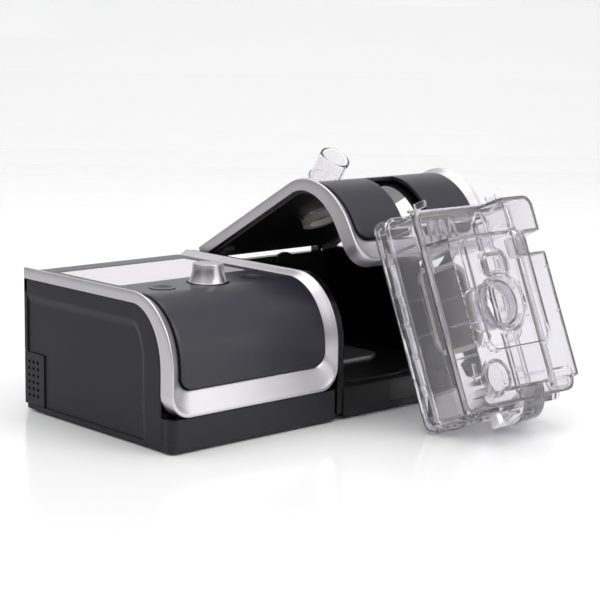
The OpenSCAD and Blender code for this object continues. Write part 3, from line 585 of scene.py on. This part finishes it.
pts, faces = side_cover()
ys = np.concatenate([np.linspace(40, FILTER_Y, 12), [DEPTH - 0.1]])
zs = np.concatenate([np.linspace(BASE, FILTER_TOP, 8), [50.0]])
field = np.stack(np.broadcast_arrays(FIELD_X, ys[None, :], zs[:, None]), -1)
room = (zs[:-1, None] < FILTER_TOP - 1) & (ys[None, :-1] > FILTER_Y - 1)
faces = np.concatenate([faces, grid_faces(*field.shape[:2], keep=~room) + pts.shape[0] * pts.shape[1]])
points = np.concatenate([pts.reshape(-1, 3), field.reshape(-1, 3)])
cover = make("soft_step_cover", at_unit(points), faces, flip=None)
wall(cover, COVER_WALL)
place(cover, "case", CASE, ["left_side_cover"])
print("side cover faces:", len(cover.data.polygons))

# %% [markdown]
# The knob is turned metal: a flare that narrows upwards as a power of the
# height, a small round rim and a shallow dish on top.

# %% Knob
def knob_profile(base=12.9, top=10.1, height=12.5):
    """r(h) = top + (base - top) * (1 - h/height)^2.3, then a rim of radius 0.6 and a dish of 0.5."""
    h = np.linspace(0.6, height - 0.6, 22)
    r = top + (base - top) * (1 - h / height) ** 2.3
    rim = corner(top - 0.6, height - 0.6, 0.6, 0, 90, 6)
    dish = np.column_stack([np.linspace(top - 1.4, 0, 8),
                            height - 0.5 * np.sin(np.linspace(0.2, 1, 8) * tau / 4)])
    foot = [(0, -2.2), (base - 0.4, -2.2), (base - 0.1, 0.1), (base, 0.4)]
    return np.concatenate([foot, np.column_stack([r, h]), rim, dish])


pts, faces = lathe(knob_profile(), 128)
knob = make("turned_knob", at_unit(pts + [KNOB_X, CONTROL_Y, TOP - PANEL_DROP]), faces, flip=None)
place(knob, "knob", KNOB, ["knob"], crease=60)
print("knob profile points:", len(knob_profile()))

# %% [markdown]
# The outlet is a clear tube that leans from a round riser on the lid. It is a
# wall turned about its own axis, with a round lip and a low shoulder where the
# hose cuff stops, then leaned over.

# %% Outlet tube
TUBE_LEAN, TUBE_LEN, CUFF = radians(64), 37.7, 20.0
TUBE_R, STOP_R, LIP_R = 11.0, 11.8, 0.8  # outside, the shoulder, and the lip's own round
BORE_R = TUBE_R - 2 * LIP_R


def leaned(p):
    """Tube millimetres, +Z along the tube, to frame metres."""
    x, y, z = np.moveaxis(np.asarray(p, float), -1, 0)
    c, s = cos(TUBE_LEAN), sin(TUBE_LEAN)
    return on_lid(np.stack([x + OUTLET[0], y * c - z * s + OUTLET[1], y * s + z * c + TOP + 2.1], -1))


tube_lip = corner(TUBE_R - LIP_R, TUBE_LEN - LIP_R, LIP_R, 0, 180, 9)
shoulder = [(STOP_R, 4), (STOP_R, TUBE_LEN - CUFF - 0.3), (STOP_R - 0.3, TUBE_LEN - CUFF),
            (TUBE_R, TUBE_LEN - CUFF)]
profile = np.concatenate([shoulder, [(TUBE_R, TUBE_LEN - 3)], tube_lip,
                          [(BORE_R, TUBE_LEN - 5), (BORE_R, 4)]])
pts, faces = lathe(np.concatenate([profile, profile[:1]]), 96)
tube = make("outlet_tube_wall", leaned(pts), faces, flip=None)
riser = [(10.8, 84), (14.4, 84), (14.4, 87), (12.4, 87.4), (12.4, 100), (11.8, 101), (10.8, 101), (10.8, 84)]
pts, faces = lathe(riser, 96)
base = make("outlet_riser", on_lid(pts + [*OUTLET, 0]), faces, flip=None)
place(base, "outlet", CLEAR)
place(tube, "outlet", TUBE, ["outlet_tube"])
print("tube length:", TUBE_LEN, "mm")

# %% [markdown]
# The water chamber is the showpiece: clear, and full of moulded steps. It has
# three kinds of small shape: a rim is a section carried round a rounded
# rectangle, a bar is a block with soft edges, and many of them are joined into
# one piece, because they come out of one mould.

# %% Rims, bars and joined parts
TANK_W, TANK_L, COVER_Z, ROOF = 98.0, 142.0, 35.6, 58.0  # foot, seam and top of the cover
PLATE = (26.0, 48.0, 72.0, 108.0)                        # opening for the metal plate


def rim(section, box=(0, 0, TANK_W, TANK_L), radius=8, n=8):
    """Carries a closed (inset, z) section round the box: each section point is one ring."""
    rings = [lift(rounded(box[0] + e, box[1] + e, box[2] - e, box[3] - e, max(radius - e, 0.5), n), z)
             for e, z in section]
    pts = np.stack(rings)
    return pts, grid_faces(*pts.shape[:2], wrap_rows=True, wrap_cols=True)


def joined(name, parts, turn):
    """One mesh from several closed parts."""
    points, faces, shift = [], [], 0
    for pts, quads in parts:
        points.append(pts.reshape(-1, 3))
        faces.append(quads + shift)
        shift += len(points[-1])
    return make(name, turn(np.concatenate(points)), np.concatenate(faces), flip=None)


def bar(low, high, soft=0.4):
    """A small upright block with soft edges, as a loft of four rings."""
    rings = [(soft, low[2]), (0, low[2] + soft), (0, high[2] - soft), (soft, high[2])]
    (x0, y0), (x1, y1) = low[:2], high[:2]
    r = min(0.8, min(x1 - x0, y1 - y0) / 2 - 0.01)
    return loft([lift(rounded(x0 + e, y0 + e, x1 - e, y1 - e, max(0.05, r - e), 3), z) for e, z in rings])


print("chamber foot:", TANK_W, "x", TANK_L, "mm")

# %% [markdown]
# The tank is one closed section: along the floor from the metal plate's
# opening, up the wall, over a lip at the seam, and back down inside. Under it
# is a foot like a ladder: a flange, a rail and posts, which stiffen the mould.

# %% Chamber tank
def tank():
    """The wall: out from the plate's opening along the floor, up, a lip at the seam, and back down inside."""
    seat = rounded(*PLATE, 11, 8)
    outer = [(4, 1.0), (4, 29.5), (2.6, 30.5), (2.4, 31), (2.4, 33.6), (2.8, 34), (6, 34), (6, 7),
             (6.6, 5.4), (8.2, 4.6)]
    rings = [lift(seat, 1.0)]
    rings += [lift(rounded(e, e, TANK_W - e, TANK_L - e, max(8 - e, 1.5), 8), z) for e, z in outer]
    rings += [lift(seat, 4.6)]
    pts = np.stack(rings)
    return pts, grid_faces(*pts.shape[:2], wrap_rows=True, wrap_cols=True)


def ladder():
    """The foot: a flange, a rail above it, and the posts between them."""
    flange = [(0, 0.4), (0.4, 0), (3.6, 0), (4, 0.4), (4, 2.6), (3.6, 3), (0.4, 3), (0, 2.6)]
    rail = [(0, 10.8), (0.4, 10.4), (2.2, 10.4), (2.6, 10.8), (2.6, 12.6), (2.2, 13), (0.4, 13), (0, 12.6)]
    parts = [rim(flange), rim(rail)]
    for k in range(7):
        y = 6 + 21 * k
        for x in (0.2, TANK_W - 2.2):
            parts.append(bar((x, y, 2.8), (x + 2, y + 4, 10.8)))
    for k in range(6):
        x = 7 + 16 * k
        for y in (0.2, TANK_L - 2.2):
            parts.append(bar((x, y, 2.8), (x + 4, y + 2, 10.8)))
    return parts


left_ribs = [bar((2.8, y, 3), (5, y + 1.4, 30)) for y in (22, 61, 84, 118, 128)]
right_ribs = [bar((TANK_W - 5, y, 3), (TANK_W - 2.8, y + 1.4, 30)) for y in (22, 61, 84, 118)]
tank_piece = joined("clear_tank", [tank()] + ladder() + left_ribs + right_ribs, on_chamber)
place(tank_piece, "chamber", CLEAR, ["chamber_tank"], crease=40)
print("tank faces:", len(tank_piece.data.polygons))

# %% [markdown]
# The cover is a height map, because a moulded cover is exactly that: every pad,
# ring, recess and tab is a smooth step up or down, and a draft angle comes for
# free. A step is a signed distance into a shape, eased from 0 to 1.

# %% Chamber cover heights
def step(distance, width=1.3):
    """0 outside, 1 inside, with a smooth ramp that is width wide."""
    s = np.clip(distance / width + 0.5, 0, 1)
    return s * s * (3 - 2 * s)


def inside(x, y, x0, y0, x1, y1, r):
    """Signed distance into a rectangle with round corners."""
    dx = np.abs(x - (x0 + x1) / 2) - (x1 - x0) / 2 + r
    dy = np.abs(y - (y0 + y1) / 2) - (y1 - y0) / 2 + r
    return r - np.hypot(np.maximum(dx, 0), np.maximum(dy, 0)) - np.minimum(np.maximum(dx, dy), 0)


PORT_X, PORT_Y, PORT_R = TANK_W / 2 - 10.8, 69.6, 15.5
BOSS_X, BOSS_Y = 16, 23


def cover_height(x, y):
    """The roof's height in millimetres, then one smooth step up or down for each moulded shape."""
    z = np.full(x.shape, ROOF)
    z -= 20 * step(inside(x, y, -10, 116, 64, 160, 5))                     # low deck at the back
    z -= 17 * step(inside(x, y, 78, 100, 110, 113, 2))                     # notch in the right edge
    z -= 5 * step(14 - y)                                                  # front step
    pad = np.minimum(inside(x, y, 14, 39, 75, 117, 9), (75 - x + y) * 0.70)
    z += 3.2 * step(pad)                                                   # pad with one cut corner
    z -= 1.4 * step(pad - 2.2) * step(y - 50, 6)                           # its shallow middle
    r = np.hypot(x - PORT_X, y - PORT_Y)
    outside = r - PORT_R
    z += 2.6 * step(4.2 - outside) - 2.2 * step(1.8 - outside)             # ring round the port
    z -= 9 * step(-outside)                                                # the port's well
    z += 3 * step(inside(x, y, PORT_X - 12, 86, PORT_X + 12, 103, 5)) * step(outside - 4)  # tab
    z -= 4 * step(inside(x, y, PORT_X - 9, 88, PORT_X + 9, 100, 3)) * step(outside - 5)    # its pocket
    b = np.hypot(x - BOSS_X, y - BOSS_Y)
    z += 1.8 * step(12 - b) - 5 * step(9.6 - b)                            # round boss, hollow
    z -= 3 * step(inside(x, y, 70, 10, 88, 20, 2))                         # shallow recess
    return z


well = cover_height(np.array([PORT_X]), np.array([PORT_Y]))[0]
print("roof at", ROOF, "mm, port well at", round(float(well), 1), "mm")

# %% [markdown]
# The height map becomes a sheet whose end rows shrink into round corners. Its
# rim is pulled down to the seam to make the walls, Solidify gives the wall its
# thickness, and a drum opens the port.

# %% Chamber cover
def cover_sheet(x0=4, y0=6, x1=94, y1=138, r=8, pitch=0.75):
    """The height map on a grid whose end rows shrink into round corners, with walls added round it."""
    y = np.linspace(y0, y1, int((y1 - y0) / pitch))
    a = np.arcsin(np.clip(1 - np.minimum(y - y0, y1 - y) / r, 0, 1))
    half = (x1 - x0) / 2 - r * (1 - np.cos(a))
    s = np.linspace(-1, 1, int((x1 - x0) / pitch))
    x = (x0 + x1) / 2 + half[:, None] * s[None, :]
    yy = np.broadcast_to(y[:, None], x.shape)
    z = cover_height(x, yy)
    pts = np.pad(np.stack([x, yy, z], -1), ((1, 1), (1, 1), (0, 0)), mode="edge")
    for side in (pts[0], pts[-1], pts[:, 0], pts[:, -1]):
        side[:, 2] = COVER_Z + 0.1
    return pts


sheet = cover_sheet()
shell = make("clear_cover", on_chamber(sheet), grid_faces(*sheet.shape[:2]), flip=None)
wall(shell, 1.8, 0.7, 2, 60)
apply_all(shell)
cut(shell, drum("cutter", (PORT_X, PORT_Y), PORT_R - 2.4, 30, 70, on_chamber))
place(shell, "chamber_cover", CLEAR, ["chamber_cover"], crease=40)
print("cover faces:", len(shell.data.polygons))

# %% [markdown]
# The cover's small mouldings: a lip at the seam, wall ribs, level marks, a
# frame on the side wall, three arches on the low deck, a window rim, braces,
# and the ears of its hinge. Each is a rim, a bar or a ring of points.

# %% Cover details
def arch(left, wide=7.2, foot=118, spring=127, rise=6, share=0.84, low=37.6, high=39.6):
    """A flat arch: two legs and half an ellipse, and back along the same path drawn in by share."""
    a = np.radians(np.linspace(0, 180, 13))
    bow = np.column_stack([left + wide / 2 + wide / 2 * np.cos(a), spring + rise * np.sin(a)])
    path = np.concatenate([[[left + wide, foot]], bow, [[left, foot]]])
    middle = path.mean(0)
    inner = middle + (path - middle) * share
    return loft([lift(np.concatenate([path, inner[::-1]]), z) for z in (low, high)])


lip = rim([(2.4, 35.8), (2.8, 35.6), (6, 35.6), (6, 37.4), (2.8, 37.4), (2.4, 37.2)])
side_ribs = [bar((3.2, y, 37), (4.2, y + 1.2, 57)) for y in (40, 61, 78)]
marks = [bar((88, y, 58), (93, y + 0.9, 58.8)) for y in (58, 88)] + [bar((20, 66, 58), (25, 66.9, 58.8))]
frame_bars = [bar((2.9, 97, 40), (4.2, 98.4, 58)), bar((2.9, 112, 40), (4.2, 113.4, 58)),
              bar((2.9, 97, 39), (4.2, 113.4, 40.4))]
window = rim([(0, 57.8), (0, 59.2), (0.7, 59.2), (0.7, 57.8)], (66, 103, 76, 112), 2.5, 5)
plate_frame = rim([(0, 36.4), (0, 38.2), (0.8, 38.2), (0.8, 36.4)], (24, 45, 74, 111), 12, 7)
braces = [bar((6, 61, 40), (34, 62.2, 41.6)), bar((30, 84, 40), (31.2, 112, 41.6)),
          bar((8, 40, 40), (22, 41.2, 41.6)), bar((14, 24, 40), (15.2, 36, 41.6)),
          bar((62, 22, 40), (90, 23.2, 41.6))]
ears = [bar((x, 141.4, 29), (x + 3.4, 145.8, 38.5)) for x in (12.3, TANK_W - 15.7)]
arches = [arch(left) for left in (10, 19, 28)]
small_parts = [lip, window, plate_frame] + arches + braces + side_ribs + marks + frame_bars + ears
details = joined("cover_details", small_parts, on_chamber)
place(details, "chamber_cover", CLEAR, crease=40)
print("small parts on the cover:", len(small_parts))

# %% [markdown]
# The nose at the front of the cover is drawn in side view and joined across its
# width, with its two cheeks drawn in a little so that their edges look soft.

# %% Cover nose
def nose(x0=38.4, width=21.3):
    """Side view of the nose: flat foot, upright front, then a quarter ellipse back to the roof."""
    a = np.radians(np.linspace(0, 90, 16))
    front = np.column_stack([14 - 21 * np.cos(a), 40 + 16 * np.sin(a)])
    view = np.concatenate([[(5.6, 22), (-6.4, 22), (-7, 22.6)], front, [(14, 55)], [(5.6, 36)]])
    rings = []
    for x, shrink in ((0, 0.6), (0.6, 0), (width - 0.6, 0), (width, 0.6)):
        middle = view.mean(0)
        cheek = middle + (view - middle) * (1 - shrink / 12)
        rings.append(np.column_stack([np.full(len(cheek), x0 + x), cheek]))
    return loft(rings)


pts, faces = nose()
nose_piece = make("cover_nose", on_chamber(pts), faces, flip=None)
place(nose_piece, "chamber_cover", CLEAR, crease=40)
print("chamber made")

# %% [markdown]
# The stage is a pale sheet that curves up into a backdrop, so that no horizon
# shows. It is turned to face the camera and lies a hair under the feet.

# %% Stage
STAGE_TURN = radians(-43)
STAGE_LOW = 0.0002


def stage_sheet():
    """Floor that curves up into a backdrop: flat, a quarter circle of 0.6 m, then upright."""
    a = np.linspace(0, tau / 4, 12)
    y = np.concatenate([[-3.0, 1.6], 1.6 + 0.6 * np.sin(a[1:]), [2.2]])
    z = np.concatenate([[0, 0], 0.6 - 0.6 * np.cos(a[1:]), [3.5]])
    x = np.array([-4.0, 4.0])
    x, y, z = np.broadcast_arrays(x[None, :], y[:, None], z[:, None])
    c, s = cos(STAGE_TURN), sin(STAGE_TURN)
    return np.stack([x * c - y * s, x * s + y * c, z - STAGE_LOW], -1)


sheet = stage_sheet()
floor = make("floor", sheet, grid_faces(*sheet.shape[:2]))
pale = finish("pale_floor", (0.90, 0.90, 0.905), 0.16, grain=4, bump=0.0, vary=0.0005)
floor.data.materials.append(pale)
print("floor rows:", len(sheet))

# %% [markdown]
# Large soft lamps give long, even reflections on the silver band and the knob.
# The key stands high in front, a low wide one lights the front, one hangs above,
# a weak one fills the left side, and one is aimed at the backdrop.

# %% Lights
def stand(data, side, up, back, at):
    """Puts a lamp or a camera at a point, with side, up and back as its own X, Y and Z."""
    obj = bpy.data.objects.new(data.name, data)
    bpy.context.scene.collection.objects.link(obj)
    obj.matrix_world = Matrix([[side[k], up[k], back[k], at[k]] for k in range(3)] + [[0, 0, 0, 1]])
    return obj


def soft_light(name, power, size, at, aim):
    """A rectangular lamp at a point. Its back is the unit vector from aim to it, and its side is level."""
    lamp = bpy.data.lights.new(name, "AREA")
    lamp.shape = "RECTANGLE"
    lamp.size, lamp.size_y = size
    lamp.energy = power
    back = np.array(at, float) - aim
    back /= np.linalg.norm(back)
    side = np.cross([0, 0, 1], back)
    side /= np.linalg.norm(side)
    stand(lamp, side, np.cross(back, side), back, at)


MIDDLE = np.array([0.0, 0.0, 0.06])
soft_light("key", 14, (1.2, 1.2), (0.5, -1.6, 1.5), MIDDLE)
soft_light("front", 7, (1.8, 0.9), (0.9, -1.9, 0.45), MIDDLE)
soft_light("backdrop", 5, (3.0, 1.0), (-0.6, 0.9, 1.9), np.array([-1.2, 1.4, 0.5]))
soft_light("top", 12, (1.6, 1.6), (0.1, 0.2, 1.9), MIDDLE)
soft_light("left_fill", 1.2, (1.2, 1.6), (-1.7, -0.5, 0.7), MIDDLE)
print("lamps:", len(bpy.data.lights))

# %% [markdown]
# A white room would wash out metal, which looks like whatever surrounds it. So
# the room is bright above and dim at the height of the table, as a photographer
# gets with dark cards beside the object.

# %% Room
DIM, BRIGHT = 0.16, 1.05
DIM_AT, BRIGHT_AT = -0.05, 0.75  # height of the direction looked in, 1 being straight up

world = bpy.data.worlds.new("studio")
bpy.context.scene.world = world
world.use_nodes = True
sky = world.node_tree
direction = sky.nodes.new("ShaderNodeTexCoord")
split = sky.nodes.new("ShaderNodeSeparateXYZ")
ramp = sky.nodes.new("ShaderNodeMapRange")
ramp.interpolation_type = "SMOOTHSTEP"
ramp.inputs["From Min"].default_value = DIM_AT
ramp.inputs["From Max"].default_value = BRIGHT_AT
ramp.inputs["To Min"].default_value = DIM
ramp.inputs["To Max"].default_value = BRIGHT
sky.links.new(direction.outputs["Generated"], split.inputs["Vector"])
sky.links.new(split.outputs["Z"], ramp.inputs["Value"])
sky.links.new(ramp.outputs["Result"], sky.nodes["Background"].inputs["Strength"])
sky.nodes["Background"].inputs["Color"].default_value = (1, 1, 1, 1)
print("room nodes:", len(sky.nodes))

# %% [markdown]
# The camera stands low at the left front corner, with a long lens, and leans a
# little, so the edges keep their true directions.

# %% Camera
CAM_AT = at_unit([-616.5, -769.6, 270.5])
YAW, PITCH, ROLL = radians(43.12), radians(9.95), radians(0.96)
ahead = np.array([sin(YAW) * cos(PITCH), cos(YAW) * cos(PITCH), -sin(PITCH)])
right = np.array([cos(YAW), -sin(YAW), 0.0])
up = np.cross(right, ahead)
right, up = right * cos(ROLL) + up * sin(ROLL), up * cos(ROLL) - right * sin(ROLL)
lens = bpy.data.cameras.new("camera")
lens.sensor_width = 36
lens.lens = 100.26
camera = stand(lens, right, up, -ahead, CAM_AT)
bpy.context.scene.camera = camera
bpy.context.scene.view_settings.view_transform = "Standard"
print("lens:", lens.lens, "mm")
